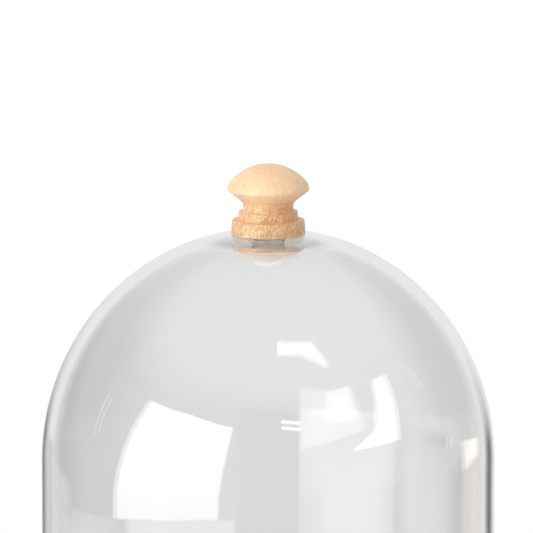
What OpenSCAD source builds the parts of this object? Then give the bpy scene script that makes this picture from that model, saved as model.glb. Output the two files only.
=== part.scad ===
// Bell jar dome: a blown glass bell with a turned wooden knob.
// A machine screw holds the knob through a hole in the crown of the glass.
// The origin is at the centre of the rim, +Z points up to the knob, and sizes are in millimetres.

/* [Glass bell] */
// Outside diameter of the glass
glass_d = 125; // [110:1:150]
// Height of the straight wall, from the rim to the foot of the crown
wall_h = 118; // [60:1:170]
// Height of the crown over the radius of the glass
crown_rise = 1.025; // [1.015:0.005:1.05]
// Thickness of the glass
glass_t = 2.8; // [2.4:0.1:3.4]
// Thickness of the flat seat at the top of the crown
seat_t = 3.2; // [3:0.1:4]
// Radius of the flat seat under the knob
seat_r = 12; // [11:0.5:14]
// Diameter of the hole in the seat
hole_d = 8; // [7:0.5:9]
// Radius of the rounded edges of the rim
rim_edge_r = 0.6; // [0.3:0.1:1]

/* [Knob] */
// Diameter of the foot of the knob, where it meets the glass
foot_d = 20.4; // [19:0.2:22]
// Height of the foot
foot_h = 3.95; // [3:0.05:5]
// Diameter of the bead above the foot
bead_d = 16.2; // [15.6:0.2:17]
// Height of the bead
bead_h = 2.4; // [2:0.1:3]
// Diameter of the neck at its narrowest
neck_d = 13.7; // [13:0.1:14.4]
// Radius of the hollow that is turned into the neck
neck_hollow_r = 2.2; // [1.8:0.1:2.6]
// Diameter of the head of the knob
head_d = 22.4; // [21:0.2:25]
// Rise of the head above its widest line
head_rise = 6.6; // [5.6:0.1:8]
// Angle of the slope under the head
slope_angle = 38.4; // [30:0.2:45]
// Gap between the foot and the glass, which the soft washer holds open
foot_gap = 0.2; // [0.1:0.05:0.4]

/* [Fixing] */
// Length of the machine screw under its head
screw_l = 16; // [14:1:18]
// Diameter of the thread of the machine screw
screw_d = 4; // [3.5:0.1:4]
// Diameter of the screw head
screw_head_d = 8; // [7:0.2:8.4]
// Height of the screw head
screw_head_h = 3.1; // [2.4:0.1:3.4]
// Outside diameter of the threaded insert
insert_d = 6; // [5.6:0.1:6.6]
// Length of the threaded insert
insert_l = 10; // [8:0.5:10]
// Diameter of the soft washer between the knob and the glass
knob_washer_d = 18.4; // [12:0.2:18.6]
// Thickness of that washer
knob_washer_t = 1; // [0.8:0.1:1.4]
// Diameter of the soft gasket under the glass
gasket_d = 17; // [12:0.5:20]
// Thickness of that gasket
gasket_t = 1.5; // [1:0.1:2]
// Diameter of the hard washer
flat_washer_d = 15; // [11:0.5:16]
// Thickness of the hard washer
flat_washer_t = 1; // [0.8:0.1:1.6]

/* [Hidden] */
$fn = 128;

// The crown is a two-arc vault: a wide shoulder arc that leaves the wall upright, then a crown arc.
glass_r = glass_d / 2;
crown_h = crown_rise * glass_r;
shoulder_r = crown_rise * crown_h;
shoulder_x = glass_r - shoulder_r;
vault_spare = shoulder_r - crown_h;
crown_z = (pow(shoulder_x, 2) - pow(vault_spare, 2)) / (2 * vault_spare);
crown_r = crown_h - crown_z;
join_angle = atan2(crown_z, -shoulder_x);
seat_z = wall_h + crown_z + sqrt(pow(crown_r, 2) - pow(seat_r, 2));
rim_flat = glass_t - 2 * rim_edge_r;

// The knob stands on its own z = 0, and is lifted to its place on the seat.
knob_z = seat_z + foot_gap;
foot_chamfer = 0.3;
foot_taper = 0.25;
neck_r = neck_d / 2;
neck_z = foot_h + bead_h + 1.25;
slope_start_r = neck_r + neck_hollow_r * (1 - sin(slope_angle));
slope_start_z = neck_z + neck_hollow_r * cos(slope_angle);
head_r = head_d / 2;
head_z = 12.7;
head_shoulder_r = 3.2;
slope_reach = head_r - slope_start_r;
head_edge_r = (head_z - slope_start_z - slope_reach * tan(slope_angle))
            / (cos(slope_angle) - (1 - sin(slope_angle)) * tan(slope_angle));
slope_end_r = head_r - head_edge_r * (1 - sin(slope_angle));
slope_end_z = head_z - head_edge_r * cos(slope_angle);
head_x = head_r - head_shoulder_r;
head_spare = head_rise - head_shoulder_r;
head_drop = (pow(head_x, 2) - pow(head_spare, 2)) / (2 * head_spare);
head_crown_r = head_rise + head_drop;
head_join_angle = atan2(head_drop, head_x);
head_join_z = head_shoulder_r * sin(head_join_angle);
recess_h = knob_washer_t - foot_gap;
seat_clear = 0.05;
recess_r = knob_washer_d / 2 + 0.2;
core_r = neck_r - 1;
insert_r = insert_d / 2;
insert_hole_h = recess_h + insert_l + 0.7;

// The fixing is stacked downwards from the underside of the seat.
screw_r = screw_d / 2;
thread_gap = 0.05;
sleeve_gap = 0.1;
sleeve_bore_r = screw_r + 0.2;
washer_bore_r = screw_r + 0.15;
under_seat_z = seat_z - seat_t;
gasket_z = under_seat_z - gasket_t;
flat_washer_z = gasket_z - flat_washer_t;
screw_head_r = screw_head_d / 2;
screw_head_edge_r = 1.2;
cross_w = 1;
cross_l = 4.4;
cross_h = 2;
past = 1;

// A ring outline with small chamfers, from z = 0 up to h, that narrows by taper on its way up.
module ring_outline(r, h, chamfer, taper) {
    polygon([
        [0, 0],
        [r - chamfer, 0],
        [r, chamfer],
        [r - taper, h - chamfer],
        [r - taper - chamfer, h],
        [0, h]
    ]);
}

// A flat washer that rests on z.
module washer(d, bore_r, t, z) {
    translate([0, 0, z])
        difference() {
            cylinder(r = d / 2, h = t);
            translate([0, 0, -past]) cylinder(r = bore_r, h = t + 2 * past);
        }
}

// Half outline of the vault, drawn inset from the outside of the glass and cut flat at top_z.
module vault_outline(inset, top_z) {
    join_z = (shoulder_r - inset) * sin(join_angle);
    wall_x = glass_r - inset;
    translate([0, wall_h])
        union() {
            intersection() {
                translate([shoulder_x, 0]) circle(r = shoulder_r - inset);
                square([wall_x + past, join_z]);
            }
            intersection() {
                translate([0, crown_z]) circle(r = crown_r - inset);
                translate([0, join_z]) square([wall_x, top_z - wall_h - join_z]);
            }
        }
}

// Half outline of the wall, with a rim that is flat between two rounded edges.
module wall_outline() {
    inner_x = glass_r - glass_t;
    translate([inner_x, rim_edge_r]) square([glass_t, wall_h - rim_edge_r]);
    translate([inner_x + rim_edge_r, 0]) square([rim_flat, rim_edge_r]);
    for (side = [0, 1])
        intersection() {
            translate([inner_x + rim_edge_r + side * rim_flat, rim_edge_r]) circle(r = rim_edge_r);
            translate([inner_x + side * (rim_edge_r + rim_flat), 0]) square([rim_edge_r, rim_edge_r]);
        }
}

module glass_dome() {
    color("lightcyan", 0.4)
        rotate_extrude()
            union() {
                wall_outline();
                difference() {
                    vault_outline(0, seat_z);
                    vault_outline(glass_t, under_seat_z);
                    translate([0, under_seat_z - past]) square([hole_d / 2, seat_t + 2 * past]);
                }
            }
}

// Neck of the knob: a stem with a hollow turned into it, then the slope that opens out to the head.
module neck_outline() {
    stem_z = foot_h + bead_h;
    difference() {
        translate([0, stem_z]) square([slope_start_r, slope_start_z - stem_z]);
        translate([neck_r + neck_hollow_r, neck_z]) circle(r = neck_hollow_r);
    }
    polygon([
        [0, slope_start_z],
        [slope_start_r, slope_start_z],
        [slope_end_r, slope_end_z],
        [0, slope_end_z]
    ]);
}

// Head of the knob: a small round edge below its widest line, and a two-arc cap above it.
module head_outline() {
    translate([0, slope_end_z]) square([head_r - head_edge_r, head_z - slope_end_z]);
    intersection() {
        translate([head_r - head_edge_r, head_z]) circle(r = head_edge_r);
        translate([head_r - head_edge_r, slope_end_z]) square([head_edge_r, head_z - slope_end_z]);
    }
    translate([0, head_z]) {
        square([head_x, head_join_z]);
        intersection() {
            translate([head_x, 0]) circle(r = head_shoulder_r);
            translate([head_x, 0]) square([head_shoulder_r, head_join_z]);
        }
        intersection() {
            translate([0, -head_drop]) circle(r = head_crown_r);
            translate([0, head_join_z]) square([head_r, head_rise]);
        }
    }
}

module wooden_knob() {
    color("burlywood")
        translate([0, 0, knob_z])
            difference() {
                rotate_extrude()
                    union() {
                        square([core_r, head_z + head_join_z]);
                        ring_outline(foot_d / 2, foot_h, foot_chamfer, foot_taper);
                        translate([0, foot_h]) ring_outline(bead_d / 2, bead_h, foot_chamfer, 0);
                        neck_outline();
                        head_outline();
                    }
                translate([0, 0, -past]) cylinder(r = recess_r, h = recess_h + past);
                translate([0, 0, -past]) cylinder(r = insert_r, h = insert_hole_h + past);
            }
}

// Brass insert with a collar and two grooves that grip the wood.
module threaded_insert() {
    groove_h = 1;
    groove_depth = 0.3;
    color("goldenrod")
        translate([0, 0, knob_z + recess_h])
            difference() {
                cylinder(r = insert_r, h = insert_l);
                translate([0, 0, -past]) cylinder(r = screw_r + thread_gap, h = insert_l + 2 * past);
                for (z = [insert_l * 0.3, insert_l * 0.65])
                    translate([0, 0, z])
                        difference() {
                            cylinder(r = insert_r + past, h = groove_h);
                            cylinder(r = insert_r - groove_depth, h = groove_h);
                        }
            }
}

// Clear soft washer in the recess of the foot. It keeps the wood just off the glass.
module knob_washer() {
    color("whitesmoke")
        washer(knob_washer_d, insert_r + 0.3, knob_washer_t - seat_clear, seat_z + seat_clear);
}

// Nylon sleeve that keeps the screw off the glass in the hole.
module hole_sleeve() {
    clear = 0.05;
    color("ivory")
        washer(hole_d - 2 * sleeve_gap, sleeve_bore_r, seat_t - 2 * clear, under_seat_z + clear);
}

module inner_gasket() {
    color("gainsboro") washer(gasket_d, washer_bore_r, gasket_t, gasket_z);
}

module flat_washer() {
    color("whitesmoke") washer(flat_washer_d, washer_bore_r, flat_washer_t, flat_washer_z);
}

// Pan-head machine screw, driven up from inside the bell, with a cross recess in its head.
module clamp_screw() {
    tip_chamfer = 0.5;
    color("whitesmoke")
        translate([0, 0, flat_washer_z]) {
            cylinder(r = screw_r, h = screw_l - tip_chamfer);
            translate([0, 0, screw_l - tip_chamfer])
                cylinder(r1 = screw_r, r2 = screw_r - tip_chamfer, h = tip_chamfer);
            difference() {
                mirror([0, 0, 1])
                    rotate_extrude()
                        union() {
                            square([screw_head_r, screw_head_h - screw_head_edge_r]);
                            square([screw_head_r - screw_head_edge_r, screw_head_h]);
                            translate([screw_head_r - screw_head_edge_r, screw_head_h - screw_head_edge_r])
                                intersection() {
                                    circle(r = screw_head_edge_r);
                                    square(screw_head_edge_r);
                                }
                        }
                for (turn = [0, 90])
                    rotate(turn)
                        translate([-cross_l / 2, -cross_w / 2, -screw_head_h - past])
                            cube([cross_l, cross_w, cross_h + past]);
            }
        }
}

glass_dome();
wooden_knob();
threaded_insert();
knob_washer();
hole_sleeve();
inner_gasket();
flat_washer();
clamp_screw();
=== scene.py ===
"""Bell jar dome: a clear blown glass bell with a turned wooden knob, screwed on through the crown."""

import math

import bmesh
import bpy
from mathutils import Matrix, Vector


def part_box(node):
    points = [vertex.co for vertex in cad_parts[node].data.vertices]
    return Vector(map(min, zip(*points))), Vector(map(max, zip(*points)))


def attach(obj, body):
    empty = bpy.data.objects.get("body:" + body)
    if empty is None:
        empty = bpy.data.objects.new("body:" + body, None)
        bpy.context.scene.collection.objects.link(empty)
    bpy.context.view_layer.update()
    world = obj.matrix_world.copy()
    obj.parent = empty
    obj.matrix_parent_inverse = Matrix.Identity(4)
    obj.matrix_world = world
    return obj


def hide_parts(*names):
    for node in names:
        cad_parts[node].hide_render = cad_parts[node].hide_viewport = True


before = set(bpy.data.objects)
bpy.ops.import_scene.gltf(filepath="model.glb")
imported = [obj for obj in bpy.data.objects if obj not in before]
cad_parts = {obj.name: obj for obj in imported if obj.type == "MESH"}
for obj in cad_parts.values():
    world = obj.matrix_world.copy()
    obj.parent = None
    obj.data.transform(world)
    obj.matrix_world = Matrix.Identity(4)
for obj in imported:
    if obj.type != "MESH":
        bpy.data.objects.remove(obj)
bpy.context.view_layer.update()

MM = 0.001
NOISE_START = (3.7, 1.3, 8.2)
CORNER_STEPS = 6
TWO_CORNERS = 2 * (CORNER_STEPS + 1)  # the points of the first two corners of a rounded outline
ON_AXIS = 1e-7

# ---------------------------------------------------------------- outlines

def arc(centre, radius, start, end, steps):
    """Points along an arc about centre, from the start angle to the end angle, in degrees."""
    points = []
    for i in range(steps + 1):
        a = math.radians(start + (end - start) * i / steps)
        points.append((centre[0] + radius * math.cos(a), centre[1] + radius * math.sin(a)))
    return points


def rounded(corners, steps=CORNER_STEPS):
    """A closed outline through corners (x, z, radius). Each corner becomes an arc of its radius."""
    points = []
    count = len(corners)
    for i, (x, z, radius) in enumerate(corners):
        here = Vector((x, z))
        if radius <= 0:
            points.append((x, z))
            continue
        before = (Vector(corners[i - 1][:2]) - here).normalized()
        after = (Vector(corners[(i + 1) % count][:2]) - here).normalized()
        half = before.angle(after) / 2
        reach = radius / math.tan(half)
        start = here + before * reach
        end = here + after * reach
        centre = here + (before + after).normalized() * (radius / math.sin(half))
        for k in range(steps + 1):
            t = k / steps
            spoke = (start - centre).lerp(end - centre, t).normalized() * radius
            points.append(tuple(centre + spoke))
    return points


def spread(points, step):
    """The same outline with its long straight stretches cut into steps no longer than step."""
    result = []
    for (x0, z0), (x1, z1) in zip(points, points[1:] + points[:1]):
        pieces = max(1, math.ceil(math.hypot(x1 - x0, z1 - z0) / step))
        for k in range(pieces):
            t = k / pieces
            result.append((x0 + (x1 - x0) * t, z0 + (z1 - z0) * t))
    return result


# ---------------------------------------------------------------- meshes

def make_object(name, bm, material):
    """Turns a bmesh into a smooth-shaded object with one material."""
    bmesh.ops.recalc_face_normals(bm, faces=bm.faces)
    mesh = bpy.data.meshes.new(name)
    bm.to_mesh(mesh)
    bm.free()
    mesh.materials.append(material)
    mesh.shade_smooth()
    obj = bpy.data.objects.new(name, mesh)
    bpy.context.scene.collection.objects.link(obj)
    return obj


def lathe(name, outline, segments, material, warp=None):
    """Turns an outline of (radius, z) points about Z. Points on the axis become one pole each."""
    bm = bmesh.new()
    rings = []
    for radius, z in outline:
        if radius < ON_AXIS:
            rings.append([bm.verts.new((0, 0, z))])
            continue
        ring = []
        for k in range(segments):
            a = 2 * math.pi * k / segments
            place = Vector((radius * math.cos(a), radius * math.sin(a), z))
            ring.append(bm.verts.new(warp(place) if warp else place))
        rings.append(ring)
    for low, high in zip(rings, rings[1:] + rings[:1]):
        if len(low) == 1 and len(high) == 1:
            continue
        for k in range(segments):
            n = (k + 1) % segments
            if len(low) == 1:
                bm.faces.new((low[0], high[n], high[k]))
            elif len(high) == 1:
                bm.faces.new((low[k], low[n], high[0]))
            else:
                bm.faces.new((low[k], low[n], high[n], high[k]))
    return make_object(name, bm, material)


def place_piece(piece, body, node):
    """Rides a finished piece on its body, in place of its CAD node."""
    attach(piece, body)
    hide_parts(node)


# ---------------------------------------------------------------- materials

def new_material(name):
    """A material with nodes, its node tree and its main shader."""
    material = bpy.data.materials.new(name)
    material.use_nodes = True
    tree = material.node_tree
    return material, tree, tree.nodes["Principled BSDF"]


def add(tree, kind, **inputs):
    """Adds a node and sets the inputs that are named. Underscores in a name stand for spaces."""
    node = tree.nodes.new(kind)
    for key, value in inputs.items():
        node.inputs[key.replace("_", " ")].default_value = value
    return node


def ramp(tree, source, stops):
    """A colour ramp fed by source, with stops of (place, colour)."""
    node = tree.nodes.new("ShaderNodeValToRGB")
    elements = node.color_ramp.elements
    while len(elements) < len(stops):
        elements.new(0.5)
    for element, (place, colour) in zip(elements, stops):
        element.position = place
        element.color = (*colour, 1)
    tree.links.new(source, node.inputs["Fac"])
    return node.outputs["Color"]


def mix(tree, factor, first, second, blend="MIX"):
    """A colour mix. factor, first and second are sockets or plain values."""
    node = tree.nodes.new("ShaderNodeMix")
    node.data_type = "RGBA"
    node.blend_type = blend
    for socket, value in ((node.inputs[0], factor), (node.inputs[6], first), (node.inputs[7], second)):
        if isinstance(value, bpy.types.NodeSocket):
            tree.links.new(value, socket)
        else:
            socket.default_value = value if isinstance(value, (int, float)) else (*value, 1)
    return node.outputs[2]


def math_node(tree, operation, first, second=0.0):
    """A Math node's result. first and second are sockets or plain numbers."""
    node = tree.nodes.new("ShaderNodeMath")
    node.operation = operation
    for socket, value in zip(node.inputs, (first, second)):
        if isinstance(value, bpy.types.NodeSocket):
            tree.links.new(value, socket)
        else:
            socket.default_value = value
    return node.outputs[0]


def grey(value):
    """A grey as a colour."""
    return (value, value, value)


def object_place(tree, scale):
    """The place on the piece, in its own frame, stretched by scale."""
    coordinates = tree.nodes.new("ShaderNodeTexCoord")
    mapping = tree.nodes.new("ShaderNodeMapping")
    mapping.inputs["Scale"].default_value = scale
    mapping.inputs["Location"].default_value = NOISE_START
    tree.links.new(coordinates.outputs["Object"], mapping.inputs["Vector"])
    return mapping.outputs["Vector"]


def noise(tree, scale, detail=3.0, roughness=0.5, distortion=0.0):
    """Noise with a feature size set per axis, as cycles per metre."""
    node = add(
        tree, "ShaderNodeTexNoise",
        Scale=1.0, Detail=detail, Roughness=roughness, Distortion=distortion,
    )
    tree.links.new(object_place(tree, scale), node.inputs["Vector"])
    return node.outputs["Fac"]


def bump(tree, height, distance, shader):
    """Lets height raise the surface by up to distance."""
    node = add(tree, "ShaderNodeBump", Strength=1.0, Distance=distance)
    tree.links.new(height, node.inputs["Height"])
    tree.links.new(node.outputs["Normal"], shader.inputs["Normal"])


def glass_material(name, roughness, clear=1.0):
    """Blown glass, with a grey-green tint from the depth of glass that light crosses. A ground face is rough,
    and clear is the share of the light that it lets through."""
    material, tree, shader = new_material(name)
    shader.inputs["Base Color"].default_value = (1, 1, 1, 1)
    shader.inputs["Roughness"].default_value = roughness
    shader.inputs["IOR"].default_value = 1.5
    shader.inputs["Transmission Weight"].default_value = clear
    absorb = tree.nodes.new("ShaderNodeVolumeAbsorption")
    absorb.inputs["Color"].default_value = (0.5, 0.54, 0.52, 1)
    absorb.inputs["Density"].default_value = 34.0
    tree.links.new(absorb.outputs["Volume"], tree.nodes["Material Output"].inputs["Volume"])
    return material


def wood_material():
    """Pale turned beech with its grain upright. The foot and the bead show short curly flecks, and the head
    shows fine pores."""
    material, tree, shader = new_material("pale_wood")
    tone = noise(tree, (70, 70, 45), detail=2)
    fibres = noise(tree, (1500, 1500, 110), detail=3, roughness=0.6)
    pores = noise(tree, (2600, 2600, 1500), detail=2, roughness=0.6)
    flecks = noise(tree, (2300, 2300, 640), detail=1.5, roughness=0.5, distortion=1.8)
    base = ramp(tree, tone, [(0.35, (0.84, 0.57, 0.33)), (0.65, (0.94, 0.69, 0.44))])
    streak = ramp(tree, fibres, [(0.36, (0.84, 0.76, 0.68)), (0.60, grey(1))])
    pore = ramp(tree, pores, [(0.34, (0.66, 0.52, 0.40)), (0.44, (0.90, 0.84, 0.78)), (0.60, grey(1))])
    fleck = ramp(tree, flecks, [(0.40, (0.62, 0.44, 0.29)), (0.52, (0.78, 0.66, 0.53)), (0.60, grey(1))])
    split = tree.nodes.new("ShaderNodeSeparateXYZ")
    tree.links.new(tree.nodes.new("ShaderNodeTexCoord").outputs["Object"], split.inputs[0])
    rise = math_node(tree, "SUBTRACT", split.outputs["Z"], KNOB_Z)
    on_head = math_node(tree, "DIVIDE", rise, knob_high.z - KNOB_Z)
    fleck_share = ramp(tree, on_head, [(0.38, grey(0.85)), (0.52, grey(0.22))])
    colour = mix(tree, 0.45, base, streak, "MULTIPLY")
    colour = mix(tree, 0.38, colour, pore, "MULTIPLY")
    colour = mix(tree, fleck_share, colour, fleck, "MULTIPLY")
    tree.links.new(colour, shader.inputs["Base Color"])
    rough = ramp(tree, flecks, [(0.38, grey(0.62)), (0.60, grey(0.40))])
    tree.links.new(rough, shader.inputs["Roughness"])
    shader.inputs["Coat Weight"].default_value = 0.35
    shader.inputs["Coat Roughness"].default_value = 0.30
    shader.inputs["Subsurface Weight"].default_value = 0.06
    shader.inputs["Subsurface Radius"].default_value = (1.0, 0.5, 0.25)
    shader.inputs["Subsurface Scale"].default_value = 0.0012
    bump(tree, flecks, 0.00005, shader)
    return material


def metal_material(name, colour, roughness, grain):
    """Machined metal with fine turning marks."""
    material, tree, shader = new_material(name)
    shader.inputs["Metallic"].default_value = 1.0
    marks = noise(tree, grain, detail=3)
    tint = ramp(tree, marks, [(0.3, tuple(c * 0.86 for c in colour)), (0.7, colour)])
    tree.links.new(tint, shader.inputs["Base Color"])
    rough = ramp(tree, marks, [(0.3, grey(roughness * 1.3)), (0.7, grey(roughness * 0.8))])
    tree.links.new(rough, shader.inputs["Roughness"])
    bump(tree, marks, 0.00002, shader)
    return material


def soft_material(name, colour, roughness, clear):
    """A soft translucent rubber or plastic with a faint surface grain."""
    material, tree, shader = new_material(name)
    grain = noise(tree, (1800, 1800, 1800), detail=3)
    tint = ramp(tree, grain, [(0.3, tuple(c * 0.95 for c in colour)), (0.7, colour)])
    tree.links.new(tint, shader.inputs["Base Color"])
    shader.inputs["Roughness"].default_value = roughness
    shader.inputs["Transmission Weight"].default_value = clear
    shader.inputs["IOR"].default_value = 1.41
    shader.inputs["Subsurface Weight"].default_value = 0.8
    shader.inputs["Subsurface Radius"].default_value = (1.0, 0.95, 0.9)
    shader.inputs["Subsurface Scale"].default_value = 0.003
    bump(tree, grain, 0.00002, shader)
    return material


# ---------------------------------------------------------------- glass bell

glass_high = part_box("glass_dome")[1]
GLASS_R = glass_high.x
GLASS_T = 2.8 * MM
CROWN_RISE = 1.025
WALL_H = 118 * MM
SEAT_Z = glass_high.z
SEAT_T = 3.2 * MM
SEAT_EDGE_R = 32 * MM
HOLE_R = 4 * MM
HOLE_EDGE_R = 0.4 * MM
RIM_EDGE_R = 0.6 * MM
SEAT_TRUE_H = 18 * MM
RIM_TRUE_H = 30 * MM
OVAL = 0.05 * MM
RIPPLE = 0.03 * MM

# The crown is a two-arc vault, as in the CAD model.
CROWN_H = CROWN_RISE * GLASS_R
SHOULDER_R = CROWN_RISE * CROWN_H
SHOULDER_X = GLASS_R - SHOULDER_R
VAULT_SPARE = SHOULDER_R - CROWN_H
CROWN_Z = (SHOULDER_X ** 2 - VAULT_SPARE ** 2) / (2 * VAULT_SPARE)
CROWN_R = CROWN_H - CROWN_Z
JOIN_ANGLE = math.degrees(math.atan2(CROWN_Z, -SHOULDER_X))


def vault(inset, seat_z, edge_r, steps):
    """The curve from the seat down to the foot of the crown. Its edge is round where seat and vault meet."""
    centre = Vector((0, WALL_H + CROWN_Z))
    radius = CROWN_R - inset
    edge_z = seat_z - edge_r
    edge_x = math.sqrt((radius - edge_r) ** 2 - (edge_z - centre.y) ** 2)
    start = math.degrees(math.atan2(edge_z - centre.y, edge_x))
    curve = arc((edge_x, edge_z), edge_r, 90, start, 8)
    curve += arc(centre, radius, start, JOIN_ANGLE, steps)[1:]
    curve += arc((SHOULDER_X, WALL_H), SHOULDER_R - inset, JOIN_ANGLE, 0, steps)[1:]
    return curve


def hand_blown(place):
    """A bell that was blown and shaped by hand is never quite true. The seat and the rim are."""
    top = max(0.0, min(1.0, (SEAT_Z - place.z) / SEAT_TRUE_H))
    foot = max(0.0, min(1.0, place.z / RIM_TRUE_H))
    ease = top * top * (3 - 2 * top) * foot * foot * (3 - 2 * foot)
    turn = math.atan2(place.y, place.x)
    oval = OVAL * math.sin(2 * turn + 0.6 + 21 * place.z)
    ripple = RIPPLE * math.sin(3 * turn - 1.1 + 55 * place.z)
    out = Vector((place.x, place.y, 0)).normalized()
    return place + out * ((oval + ripple) * ease)


def make_glass(material, ground):
    """The bell: outer face, rim, inner face and hole in one closed outline. The wall of the hole is ground."""
    inner_seat_z = SEAT_Z - SEAT_T
    outside = vault(0, SEAT_Z, SEAT_EDGE_R, 40)
    inside = vault(GLASS_T, inner_seat_z, SEAT_EDGE_R, 40)
    rim = rounded([
        (GLASS_R, 0, RIM_EDGE_R),
        (GLASS_R - GLASS_T, 0, RIM_EDGE_R),
        (GLASS_R - GLASS_T, WALL_H, 0),
        (GLASS_R, WALL_H, 0),
    ])[:TWO_CORNERS]
    hole = rounded([
        (HOLE_R, inner_seat_z, HOLE_EDGE_R),
        (HOLE_R, SEAT_Z, HOLE_EDGE_R),
        (2 * HOLE_R, SEAT_Z, 0),
        (2 * HOLE_R, inner_seat_z, 0),
    ])[:TWO_CORNERS]
    outline = spread(outside + rim + inside[::-1] + hole, 2.5 * MM)
    bell = lathe("glass_bell", outline, 192, material, hand_blown)
    bell.data.materials.append(ground)
    for face in bell.data.polygons:
        if Vector(face.center[:2]).length < HOLE_R + HOLE_EDGE_R:
            face.material_index = 1
    return bell


# ---------------------------------------------------------------- wooden knob

knob_low, knob_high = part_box("wooden_knob")
KNOB_Z = knob_low.z
FOOT_R = 10.2 * MM
FOOT_TOP_R = 9.95 * MM
FOOT_H = 3.95 * MM
BEAD_R = 8.1 * MM
BEAD_H = 2.4 * MM
NECK_R = 6.85 * MM
NECK_HOLLOW_R = 2.2 * MM
NECK_Z = FOOT_H + BEAD_H + 1.25 * MM
NECK_END = 214
SLOPE = 38.4
HEAD_R = 11.2 * MM
HEAD_Z = 12.45 * MM
HEAD_RISE = knob_high.z - knob_low.z - HEAD_Z
HEAD_SHOULDER_R = 3.2 * MM
HEAD_EDGE_R = 0.7 * MM
RECESS_R = 9.4 * MM
RECESS_H = 0.8 * MM
INSERT_R = 3 * MM
INSERT_HOLE_H = 11.5 * MM


def make_knob(material):
    """The knob, turned from the middle of its head down the outside and up the hole for the insert."""
    side = HEAD_R - HEAD_SHOULDER_R
    spare = HEAD_RISE - HEAD_SHOULDER_R
    drop = (side ** 2 - spare ** 2) / (2 * spare)
    join = math.degrees(math.atan2(drop, side))
    outline = arc((0, HEAD_Z - drop), HEAD_RISE + drop, 90, join, 16)
    outline += arc((side, HEAD_Z), HEAD_SHOULDER_R, join, 0, 12)[1:]
    outline += arc((HEAD_R - HEAD_EDGE_R, HEAD_Z), HEAD_EDGE_R, 0, SLOPE - 90, 8)[1:]
    outline += arc((NECK_R + NECK_HOLLOW_R, NECK_Z), NECK_HOLLOW_R, 90 + SLOPE, NECK_END, 12)
    bead_top = FOOT_H + BEAD_H
    lower = rounded([
        (BEAD_R, bead_top, 0.35 * MM),
        (BEAD_R, FOOT_H, 0.1 * MM),
        (FOOT_TOP_R, FOOT_H, 0.45 * MM),
        (FOOT_R, 0, 0.15 * MM),
        (RECESS_R, 0, 0.25 * MM),
        (RECESS_R, RECESS_H, 0.1 * MM),
        (INSERT_R, RECESS_H, 0.1 * MM),
        (INSERT_R, INSERT_HOLE_H, 0.2 * MM),
        (0, INSERT_HOLE_H, 0),
        (0, bead_top, 0),
    ])[:-1]
    outline = spread(outline + lower, 0.8 * MM)
    outline = [(x, z + KNOB_Z) for x, z in outline]
    return lathe("turned_knob", outline, 128, material)


# ---------------------------------------------------------------- fixing

HAIR = 0.02 * MM
KNOB_WASHER_BORE_R = 3.3 * MM
SLEEVE_BORE_R = 2.2 * MM
WASHER_BORE_R = 2.15 * MM
SCREW_R = 2 * MM
THREAD_PITCH = 0.7 * MM
THREAD_DEPTH = 0.42 * MM
THREAD_ROWS = 8
THREAD_SLOPE = 1.25
SCREW_HEAD_EDGE_R = 1.2 * MM
UNDERHEAD_R = 0.15 * MM
CROSS_L = 4.4 * MM
CROSS_W = 1.0 * MM
CROSS_H = 2.0 * MM
CROSS_TAPER = 0.55
SHARP_ANGLE = 40


def flat_ring(name, node, bore_r, edge_r, material):
    """A washer or sleeve that fills its CAD node's box, with soft edges and a hair of air above and below."""
    low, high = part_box(node)
    low_z = low.z + HAIR
    high_z = high.z - HAIR
    outline = rounded([
        (bore_r, low_z, edge_r),
        (high.x, low_z, edge_r),
        (high.x, high_z, edge_r),
        (bore_r, high_z, edge_r),
    ])
    return lathe(name, outline, 96, material)


def thread(name, low_z, high_z, material, segments=36):
    """A threaded shank. Its radius follows a V groove round the helix, which fades out at both ends."""
    bm = bmesh.new()
    rings = []
    count = int((high_z - low_z) / THREAD_PITCH * THREAD_ROWS)
    core_r = SCREW_R - THREAD_DEPTH
    for i in range(count + 1):
        z = low_z + (high_z - low_z) * i / count
        start = min(1.0, (z - low_z) / THREAD_PITCH)
        tip = min(1.0, (high_z - z) / THREAD_PITCH)
        ring = []
        for k in range(segments):
            phase = ((z - low_z) / THREAD_PITCH + k / segments) % 1.0
            groove = min(1.0, THREAD_SLOPE * (1 - abs(2 * phase - 1)))
            r = min(SCREW_R - THREAD_DEPTH * groove * start, core_r + THREAD_DEPTH * tip)
            a = 2 * math.pi * k / segments
            ring.append(bm.verts.new((r * math.cos(a), r * math.sin(a), z)))
        rings.append(ring)
    for low, high in zip(rings, rings[1:]):
        for k in range(segments):
            n = (k + 1) % segments
            bm.faces.new((low[k], low[n], high[n], high[k]))
    bm.faces.new(rings[0][::-1])
    bm.faces.new(rings[-1])
    return make_object(name, bm, material)


def cut(obj, tool):
    """Cuts tool out of obj for good, and removes tool."""
    modifier = obj.modifiers.new("cut", "BOOLEAN")
    modifier.operation = "DIFFERENCE"
    modifier.solver = "EXACT"
    modifier.object = tool
    bpy.context.view_layer.update()
    shaped = obj.evaluated_get(bpy.context.evaluated_depsgraph_get())
    mesh = bpy.data.meshes.new_from_object(shaped)
    obj.modifiers.clear()
    obj.data = mesh
    bpy.data.objects.remove(tool)


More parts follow.
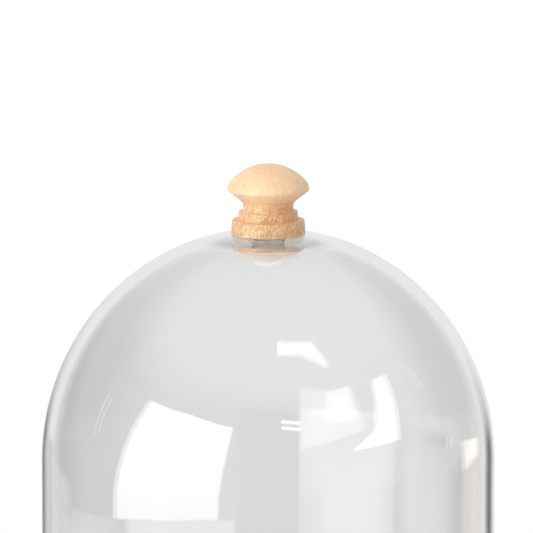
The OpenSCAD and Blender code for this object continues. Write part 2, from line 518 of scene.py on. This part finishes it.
def make_screw(material):
    """A pan-head screw with a cross recess and a thread."""
    low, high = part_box("clamp_screw")
    under_head_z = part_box("flat_washer")[0].z
    outline = [(0, low.z)]
    edge = (high.x - SCREW_HEAD_EDGE_R, low.z + SCREW_HEAD_EDGE_R)
    underside = (high.x - UNDERHEAD_R, under_head_z - UNDERHEAD_R)
    outline += arc(edge, SCREW_HEAD_EDGE_R, -90, 0, 12)
    outline += arc(underside, UNDERHEAD_R, 0, 90, 4)
    outline += [(0, under_head_z)]
    screw = lathe("nylon_screw", outline, 64, material)
    bm = bmesh.new()
    for length, width in ((CROSS_L, CROSS_W), (CROSS_W, CROSS_L)):
        block = bmesh.ops.create_cube(bm, size=1.0)["verts"]
        for vert in block:
            taper = 1.0 if vert.co.z < 0 else CROSS_TAPER
            z = low.z + vert.co.z * 2 * CROSS_H
            vert.co = Vector((vert.co.x * length * taper, vert.co.y * width * taper, z))
    cut(screw, make_object("cross_cutter", bm, material))
    shank = thread("shank", under_head_z - 2 * UNDERHEAD_R, high.z, material)
    bm = bmesh.new()
    bm.from_mesh(screw.data)
    bm.from_mesh(shank.data)
    bm.to_mesh(screw.data)
    bm.free()
    bpy.data.objects.remove(shank)
    screw.data.shade_smooth()
    screw.data.set_sharp_from_angle(angle=math.radians(SHARP_ANGLE))
    return screw


# ---------------------------------------------------------------- stage, light and camera

# Angles are in degrees. A brightness of 1 is the white of the background.
FLOOR_R = 0.42
FLOOR_GLOW = 0.14
BELL_MIDDLE = Vector((0, 0, 0.13))
KNOB_MIDDLE = Vector((0, 0, KNOB_Z + 10 * MM))
FLAG_EVERY = 45
FLAG_SHIFT = 1
LEFT_FLAG_SHIFT = 9
LEFT_FLAG_LOSS = 0.12
FLAG_COLOUR = (0.10, 0.12, 0.11)
ONE_WALL = 2.5
DARK_CARD = 0.25
CARD_EDGE = 0.541  # as a share of a turn
CARD_SOFTNESS = 0.005
BACKDROP_LIGHT = 0.9
GROUND_LIGHT = 0.6
BENT_LIGHT = 0.86
INSIDE_LIGHT = 2.6
SHADE_SPREAD = 25
DIFFUSE_LIGHT = 1.35
WINDOW_FOOT = -12
TABLE_EDGE = -18
TUBE_H = 1.5
TUBE_DROP = 1.5
PANEL_RINGS = 12
SIDE_STEPS = 8
CAMERA_ELEVATION = 9.5
CAMERA_LENS = 500
SENSOR = 36
VIEW_WIDTH = 146.5 * MM
AIM = Vector((-0.5 * MM, 0, SEAT_Z - 9.0 * MM))


def direction(azimuth, elevation):
    """The unit vector to a direction. Azimuth 0 is behind the camera, and grows to its right."""
    az = math.radians(azimuth)
    el = math.radians(elevation)
    return Vector((math.sin(az) * math.cos(el), -math.cos(az) * math.cos(el), math.sin(el)))


def away(azimuth, elevation, distance):
    """The place at a direction and a distance from the middle of the bell."""
    return BELL_MIDDLE + direction(azimuth, elevation) * distance


def make_floor():
    """A small pale floor with a faint glow that keeps it white. The glass neither mirrors nor bends it: it
    mirrors and bends the world instead."""
    material, tree, shader = new_material("floor_paper")
    shader.inputs["Base Color"].default_value = (0.9, 0.9, 0.9, 1)
    shader.inputs["Roughness"].default_value = 0.9
    shader.inputs["Specular IOR Level"].default_value = 0.0
    shader.inputs["Emission Color"].default_value = (1, 1, 1, 1)
    shader.inputs["Emission Strength"].default_value = FLOOR_GLOW
    bm = bmesh.new()
    bmesh.ops.create_circle(bm, cap_ends=True, segments=96, radius=FLOOR_R)
    floor = make_object("floor", bm, material)
    floor.visible_transmission = False
    floor.visible_glossy = False


def is_mirrored(tree):
    """1 for rays that have been mirrored on their way, 0 for rays that only passed through the glass."""
    path = tree.nodes.new("ShaderNodeLightPath")
    return math_node(tree, "GREATER_THAN", path.outputs["Glossy Depth"], 0.5)


def dark_flags(tree, turn, up, path):
    """The dark flags, as a share: upright strips round the bell, below the horizon. They draw its edges, and
    show only to rays that crossed no more than one wall of glass."""
    left = math_node(tree, "COMPARE", turn, -math.radians(FLAG_EVERY / 2))
    left.node.inputs[2].default_value = math.radians(FLAG_EVERY / 2)
    shift = math_node(tree, "MULTIPLY", left, math.radians(LEFT_FLAG_SHIFT))
    turned = math_node(tree, "ADD", math_node(tree, "ABSOLUTE", turn), shift)
    turned = math_node(tree, "SUBTRACT", turned, math.radians(FLAG_SHIFT))
    wave = math_node(tree, "PINGPONG", turned, math.radians(FLAG_EVERY / 2))
    flag = ramp(tree, math_node(tree, "DIVIDE", wave, math.radians(FLAG_EVERY / 2)), [
        (0.66, grey(0.0)),
        (0.82, grey(1.0)),
    ])
    low = ramp(tree, math_node(tree, "ADD", up, 0.5), [
        (0.0, grey(0.0)),
        (0.06, grey(0.55)),
        (0.25, grey(0.55)),
        (0.29, grey(1.0)),
        (0.35, grey(1.0)),
        (0.40, grey(0.4)),
        (0.52, grey(0.0)),
    ])
    flags = mix(tree, 1.0, flag, low, "MULTIPLY")
    flags = mix(tree, math_node(tree, "MULTIPLY", left, LEFT_FLAG_LOSS), flags, grey(0.0))
    one_wall = math_node(tree, "LESS_THAN", path.outputs["Transmission Depth"], ONE_WALL)
    return mix(tree, one_wall, grey(0.0), flags)


def mirrored_room(tree, across, ahead, up, sideways, flags):
    """What the glass mirrors: walls that are dim at the left, a dark card behind the camera, a bright ceiling
    and backdrop, the ground, and the dark flags."""
    walls = ramp(tree, sideways, [
        (0.0, grey(0.05)),
        (0.25, grey(0.12)),
        (0.42, grey(0.45)),
        (0.60, grey(0.60)),
        (1.0, grey(0.75)),
    ])
    behind = math_node(tree, "ARCTAN2", across, math_node(tree, "MULTIPLY", ahead, -1.0))
    around = math_node(tree, "ADD", math_node(tree, "DIVIDE", behind, 2 * math.pi), 0.5)
    card = ramp(tree, around, [
        (0.32, grey(1.0)),
        (0.40, grey(DARK_CARD)),
        (CARD_EDGE, grey(DARK_CARD)),
        (CARD_EDGE + CARD_SOFTNESS, grey(1.0)),
    ])
    backdrop = ramp(tree, ahead, [(0.35, grey(0.0)), (0.85, grey(1.0))])
    ceiling = ramp(tree, up, [(0.50, grey(0.0)), (0.76, grey(1.0))])
    ground = ramp(tree, math_node(tree, "ADD", up, 0.5), [(0.20, grey(1.0)), (0.26, grey(0.0))])
    room = mix(tree, 1.0, walls, card, "MULTIPLY")
    room = mix(tree, ceiling, room, grey(1.0))
    room = mix(tree, backdrop, room, grey(BACKDROP_LIGHT))
    room = mix(tree, ground, room, grey(GROUND_LIGHT))
    return mix(tree, flags, room, FLAG_COLOUR)


def bent_backdrop(tree, turn):
    """What is seen straight through the glass: a backdrop that is shaded to both sides of straight ahead."""
    spread_angle = 2 * math.radians(SHADE_SPREAD)
    aside = math_node(tree, "ADD", math_node(tree, "DIVIDE", turn, spread_angle), 0.5)
    return ramp(tree, aside, [
        (0.0, grey(BENT_LIGHT)),
        (0.10, grey(0.50)),
        (0.27, grey(0.44)),
        (0.35, grey(0.72)),
        (0.43, grey(0.80)),
        (0.46, grey(BENT_LIGHT)),
        (0.56, grey(BENT_LIGHT)),
        (0.60, grey(0.72)),
        (0.70, grey(0.61)),
        (0.90, grey(0.62)),
        (1.0, grey(BENT_LIGHT)),
    ])


def make_world():
    """White to the camera. The pieces are lit from all round, more from the left, and brightly where they are
    seen through the glass. The glass itself mirrors the room and bends the shaded backdrop."""
    world = bpy.data.worlds.new("studio")
    world.use_nodes = True
    bpy.context.scene.world = world
    tree = world.node_tree
    background = tree.nodes["Background"]
    path = tree.nodes.new("ShaderNodeLightPath")
    coordinates = tree.nodes.new("ShaderNodeTexCoord")
    split = tree.nodes.new("ShaderNodeSeparateXYZ")
    tree.links.new(coordinates.outputs["Generated"], split.inputs["Vector"])
    across, ahead, up = split.outputs
    turn = math_node(tree, "ARCTAN2", across, ahead)
    sideways = math_node(tree, "MULTIPLY", math_node(tree, "ADD", across, 1.0), 0.5)

    room = mirrored_room(tree, across, ahead, up, sideways, dark_flags(tree, turn, up, path))
    onto_pieces = math_node(tree, "GREATER_THAN", path.outputs["Diffuse Depth"], 0.5)
    glass_sees = mix(tree, is_mirrored(tree), bent_backdrop(tree, turn), room)
    glass_sees = mix(tree, onto_pieces, glass_sees, grey(INSIDE_LIGHT))
    light = ramp(tree, sideways, [(0.0, grey(1.0)), (0.5, grey(0.81)), (1.0, grey(0.42))])
    bright = mix(tree, 1.0, light, grey(DIFFUSE_LIGHT), "MULTIPLY")
    lit = mix(tree, path.outputs["Is Diffuse Ray"], glass_sees, bright)
    seen = mix(tree, path.outputs["Is Camera Ray"], lit, grey(1.0))
    tree.links.new(seen, background.inputs["Color"])


def panel_material(name, strength, edge, colour):
    """A glow, shown only to mirrored rays. The mesh's U coordinate runs from its middle to its border."""
    material = bpy.data.materials.new(name)
    material.use_nodes = True
    tree = material.node_tree
    tree.nodes.clear()
    split = tree.nodes.new("ShaderNodeSeparateXYZ")
    tree.links.new(tree.nodes.new("ShaderNodeTexCoord").outputs["UV"], split.inputs[0])
    glow = ramp(tree, split.outputs[0], [
        (0.45, colour),
        (0.85, tuple((0.6 * edge + 0.4) * c for c in colour)),
        (1.0, tuple(edge * c for c in colour)),
    ])
    emission = add(tree, "ShaderNodeEmission", Strength=strength)
    tree.links.new(glow, emission.inputs["Color"])
    shown = tree.nodes.new("ShaderNodeMixShader")
    tree.links.new(is_mirrored(tree), shown.inputs[0])
    tree.links.new(tree.nodes.new("ShaderNodeBsdfTransparent").outputs[0], shown.inputs[1])
    tree.links.new(emission.outputs[0], shown.inputs[2])
    output = tree.nodes.new("ShaderNodeOutputMaterial")
    tree.links.new(shown.outputs[0], output.inputs["Surface"])
    return material


def panel(name, corners, strength, edge=0.75, middle=None, colour=(1, 1, 1), distance=0.9):
    """A glowing window that shows only in reflections. Its corners are (azimuth, elevation), in order round
    it. It is strength bright in the middle, and edge times that at its border."""
    border = []
    for start, end in zip(corners, corners[1:] + corners[:1]):
        for k in range(SIDE_STEPS):
            border.append(Vector(start).lerp(Vector(end), k / SIDE_STEPS))
    if middle is None:
        middle = [sum(corner[i] for corner in corners) / len(corners) for i in (0, 1)]
    middle = Vector(middle)
    bm = bmesh.new()
    fade = bm.loops.layers.uv.new("UVMap")
    grid = [[bm.verts.new(away(*middle, distance))] * len(border)]
    for i in range(1, PANEL_RINGS + 1):
        ring = [middle.lerp(place, i / PANEL_RINGS) for place in border]
        grid.append([bm.verts.new(away(*place, distance)) for place in ring])
    for i in range(PANEL_RINGS):
        for k in range(len(border)):
            n = (k + 1) % len(border)
            face_corners = [(i, k), (i + 1, k), (i + 1, n)] + ([(i, n)] if i else [])
            face = bm.faces.new([grid[ring][place] for ring, place in face_corners])
            for loop, (ring, _) in zip(face.loops, face_corners):
                loop[fade].uv = (ring / PANEL_RINGS, 0)
    obj = make_object(name, bm, panel_material(name, strength, edge, colour))
    obj.visible_camera = False
    obj.visible_diffuse = False
    obj.visible_shadow = False
    obj.visible_volume_scatter = False


def streak(name, foot, top, width, strength):
    """A narrow leaning window, from its foot to its top."""
    corners = [foot, (foot[0] + width, foot[1]), (top[0] + width, top[1]), top]
    panel(name, corners, strength, edge=0.7)


def softbox(name, azimuth, elevation, distance, side, radiance, target):
    """A square panel of light that faces target and lights the pieces. It shows in no reflection and not
    through the glass."""
    light = bpy.data.lights.new(name, "AREA")
    light.shape = "RECTANGLE"
    light.size = side
    light.size_y = side
    light.energy = radiance * math.pi * side * side
    obj = bpy.data.objects.new(name, light)
    bpy.context.scene.collection.objects.link(obj)
    way = direction(azimuth, elevation)
    obj.location = target + way * distance
    obj.rotation_euler = way.to_track_quat("Z", "Y").to_euler()
    obj.visible_camera = False
    obj.visible_glossy = False
    obj.visible_transmission = False


def make_camera():
    """A long lens at AIM, from the front and a little above."""
    camera = bpy.data.cameras.new("camera")
    camera.lens = CAMERA_LENS
    camera.sensor_width = SENSOR
    camera.clip_end = 100
    obj = bpy.data.objects.new("camera", camera)
    bpy.context.scene.collection.objects.link(obj)
    way = direction(0, CAMERA_ELEVATION)
    obj.location = AIM + way * (VIEW_WIDTH * CAMERA_LENS / SENSOR)
    obj.rotation_euler = way.to_track_quat("Z", "Y").to_euler()
    bpy.context.scene.camera = obj


# ---------------------------------------------------------------- build

glass = glass_material("clear_glass", 0.0)
ground_glass = glass_material("ground_glass", 0.55, clear=0.3)
wood = wood_material()
brass = metal_material("brass", (0.80, 0.62, 0.30), 0.28, (300, 300, 3000))
silicone = soft_material("clear_silicone", (0.90, 0.85, 0.82), 0.45, 0.15)
nylon = soft_material("nylon", (0.82, 0.78, 0.75), 0.45, 0.1)

place_piece(make_glass(glass, ground_glass), "bell", "glass_dome")
place_piece(make_knob(wood), "knob", "wooden_knob")
for name, node, body, bore_r, edge_r, material, slot in (
    ("soft_knob_washer", "knob_washer", "washer", KNOB_WASHER_BORE_R, 0.2 * MM, silicone, "clear_silicone"),
    ("nylon_sleeve", "hole_sleeve", "bell", SLEEVE_BORE_R, 0.2 * MM, nylon, "nylon"),
    ("soft_inner_gasket", "inner_gasket", "bell", WASHER_BORE_R, 0.3 * MM, silicone, "clear_silicone"),
    ("hard_washer", "flat_washer", "bell", WASHER_BORE_R, 0.15 * MM, nylon, "nylon"),
):
    place_piece(flat_ring(name, node, bore_r, edge_r, material), body, node)
place_piece(make_screw(nylon), "bell", "clamp_screw")
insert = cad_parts["threaded_insert"]
insert.data.materials.clear()
insert.data.materials.append(brass)

make_floor()
make_world()
make_camera()

# The corners of the windows are (azimuth, elevation), seen from the middle of the bell.
panel("left_window", [
    (-83, WINDOW_FOOT), (-25, WINDOW_FOOT), (-19, 23), (-44, 26), (-71, 26),
], 5.0, edge=0.7)
panel("left_sill", [
    (-75, TABLE_EDGE), (-17, TABLE_EDGE), (-17, WINDOW_FOOT), (-75, WINDOW_FOOT),
], 2.2, edge=0.6, distance=0.92)
panel("left_table", [
    (-150, TABLE_EDGE), (-84, TABLE_EDGE), (-84, WINDOW_FOOT), (-125, WINDOW_FOOT), (-138, -8), (-150, -7),
], 1.05, edge=0.5, middle=(-105, -15), distance=0.93)
panel("right_window", [(16, 13), (52, 18), (54, 36), (20, 43)], 2.4, edge=0.7)
panel("right_pane", [(32, 24), (49, 24), (52, 38), (35, 38)], 4.0, edge=0.8, distance=0.88)
panel("far_window", [
    (43, 10), (71, 10), (79, 35), (68, 36), (58, 17),
], 4.4, edge=0.85, middle=(67, 17))
panel("top_window", [
    (8, 60), (30, 58), (46, 48), (44, 63), (10, 67),
], 5.0, edge=0.95, middle=(32, 61))
for name, level in (("high_tube", 26), ("low_tube", 23)):
    far = level - TUBE_DROP
    panel(name, [(7, level), (19, far), (19, far + TUBE_H), (7, level + TUBE_H)], 5.0, edge=1.0)
panel("warm_lamp", [
    (116, -9), (131, -7), (132, -4), (115, -1),
], 2.6, edge=0.8, colour=(1, 0.93, 0.86))
panel("warm_wall", [
    (113, TABLE_EDGE), (134, TABLE_EDGE), (133, -7), (115, -8),
], 1.15, edge=0.8, colour=(1, 0.88, 0.76), distance=0.92)
streak("right_slit", (103, 0), (105, 3), 1, 3.0)
streak("right_streak", (97, 21), (94, 32), 2, 1.7)
streak("right_glint", (97, 7), (93, 15), 2, 1.5)
streak("left_streak", (-100, 4), (-99, 20), 1.5, 1.6)
softbox("key", -42, 14, 1.2, 0.6, 4.6, KNOB_MIDDLE)

scene = bpy.context.scene
scene.view_settings.view_transform = "Standard"
scene.cycles.max_bounces = 24
scene.cycles.transmission_bounces = 24
scene.cycles.transparent_max_bounces = 24
scene.cycles.glossy_bounces = 12
scene.cycles.caustics_reflective = True
scene.cycles.caustics_refractive = True
scene.cycles.use_denoising = True
